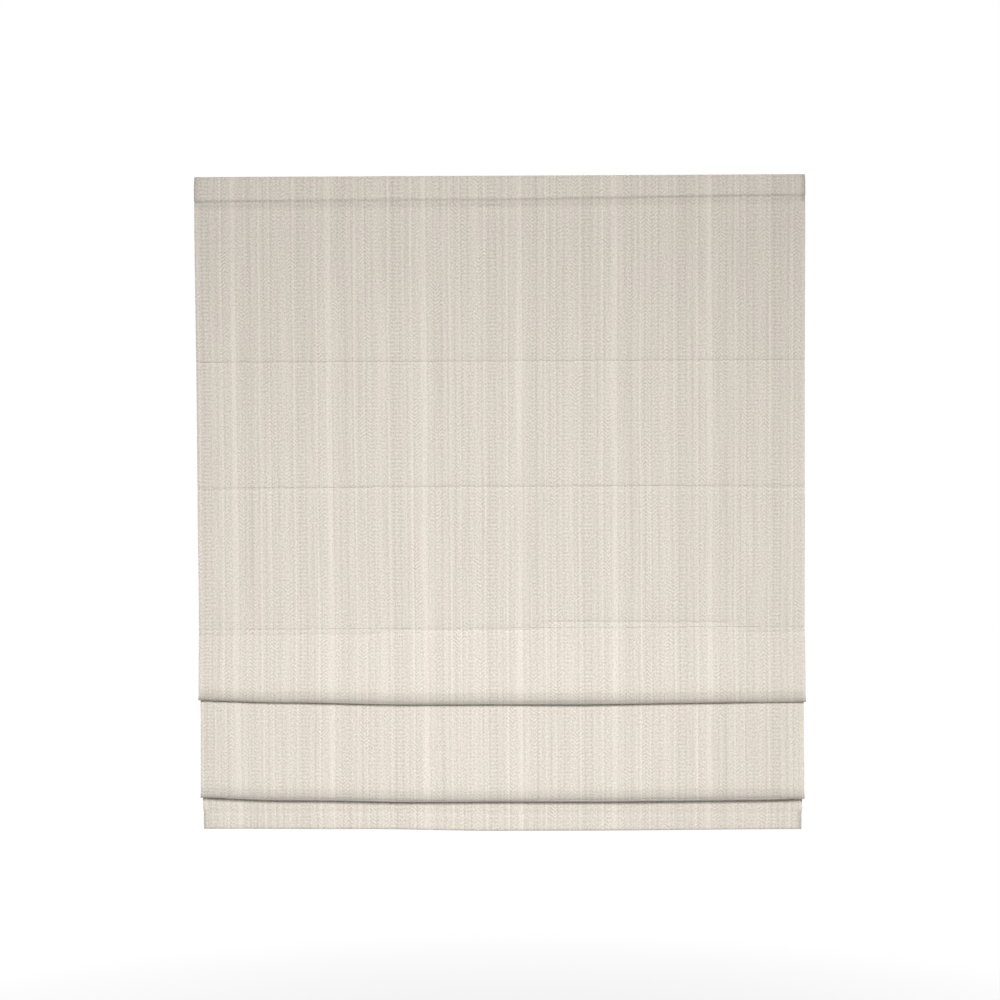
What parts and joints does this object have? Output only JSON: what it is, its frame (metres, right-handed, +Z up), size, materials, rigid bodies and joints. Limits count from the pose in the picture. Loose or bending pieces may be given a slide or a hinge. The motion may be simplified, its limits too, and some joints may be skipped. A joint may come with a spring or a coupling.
{
  "type": "roman blind",
  "caption": "Flat lined roman blind on a slim headrail, partly raised so that its woven cloth folds into soft pleats above a plain hem.",
  "frame": {"origin": "centre of the pattern of screw holes in the two brackets, on the plane where they meet the ceiling or window head", "axes": "+X along the width, -Y towards the room, +Z up"},
  "size_m": [0.838, 0.048, 0.9],
  "materials": {
    "face_weave": "woven cotton and linen look, warm pale greige with fine cream stripes, matte",
    "lining_cloth": "plain-weave off-white lining cloth, matte",
    "rail_enamel": "smooth white enamel on rolled steel",
    "zinc_steel": "bright zinc plate",
    "bar_aluminium": "mill finish",
    "white_plastic": "moulded white, fine satin",
    "motor_plastic": "moulded pale grey",
    "clear_plastic": "moulded milky white, glossy",
    "glass_fibre": "drawn glass-fibre rod, pale",
    "hook_tape": "woven tape set with stiff plastic hooks",
    "loop_tape": "woven tape with a soft looped pile",
    "cord": "fine braided polyester cord"
  },
  "bodies": {
    "headrail": {"headrail": "rail_enamel", "rail_end_cap_left": "white_plastic", "rail_end_cap_right": "white_plastic", "hook_tape": "hook_tape", "loop_tape": "loop_tape", "bracket_left": "zinc_steel", "bracket_right": "zinc_steel", "cam_rivet_left": "zinc_steel", "cam_rivet_right": "zinc_steel", "motor_case": "motor_plastic", "motor_cover": "motor_plastic", "motor_screws": "zinc_steel", "cord_guide_left": "white_plastic", "cord_guide_center": "white_plastic", "cord_guide_right": "white_plastic", "face_fabric": "face_weave", "lining": "lining_cloth", "lift_cord_left": "cord", "lift_cord_center": "cord", "lift_cord_right": "cord"},
    "cam_left": {"cam_lever_left": "white_plastic"},
    "cam_right": {"cam_lever_right": "white_plastic"},
    "rib_1": {"rib_pocket_1": "lining_cloth", "rib_rod_1": "glass_fibre", "rib_rings_1": "clear_plastic"},
    "rib_2": {"rib_pocket_2": "lining_cloth", "rib_rod_2": "glass_fibre", "rib_rings_2": "clear_plastic"},
    "rib_3": {"rib_pocket_3": "lining_cloth", "rib_rod_3": "glass_fibre", "rib_rings_3": "clear_plastic"},
    "rib_4": {"rib_pocket_4": "lining_cloth", "rib_rod_4": "glass_fibre", "rib_rings_4": "clear_plastic"},
    "bottom": {"rib_pocket_5": "lining_cloth", "rib_rod_5": "glass_fibre", "rib_rings_5": "clear_plastic", "cord_orbs": "clear_plastic", "bottom_bar": "bar_aluminium", "bar_cap_left": "white_plastic", "bar_cap_right": "white_plastic"}
  },
  "joints": [
    {"name": "cam_lever_left_turn", "type": "hinge", "parent": "headrail", "child": "cam_left", "pos_m": [-0.3, 0.002, -0.003], "axis": [0, 0, 1], "range_deg": [0, 90]},
    {"name": "cam_lever_right_turn", "type": "hinge", "parent": "headrail", "child": "cam_right", "pos_m": [0.3, 0.002, -0.003], "axis": [0, 0, 1], "range_deg": [0, 90]},
    {"name": "pleat_1", "type": "slide", "parent": "headrail", "child": "rib_1", "axis": [0, 0.0276, 0.9996], "range_m": [0, 0.19958], "deforming": ["face_fabric", "lining", "lift_cord_left", "lift_cord_center", "lift_cord_right"]},
    {"name": "pleat_2", "type": "slide", "parent": "rib_1", "child": "rib_2", "axis": [0, 0.035, 0.9994], "range_m": [0, 0.1571]},
    {"name": "pleat_3", "type": "slide", "parent": "rib_2", "child": "rib_3", "axis": [0, 0.0307, 0.9995], "range_m": [0, 0.17908]},
    {"name": "pleat_4", "type": "slide", "parent": "rib_3", "child": "rib_4", "axis": [0, 0.051, 0.9987], "range_m": [-0.04055, 0.06734]},
    {"name": "pleat_5", "type": "slide", "parent": "rib_4", "child": "bottom", "axis": [0, 0.0197, 0.9998], "range_m": [-0.27855, 0]}
  ]
}
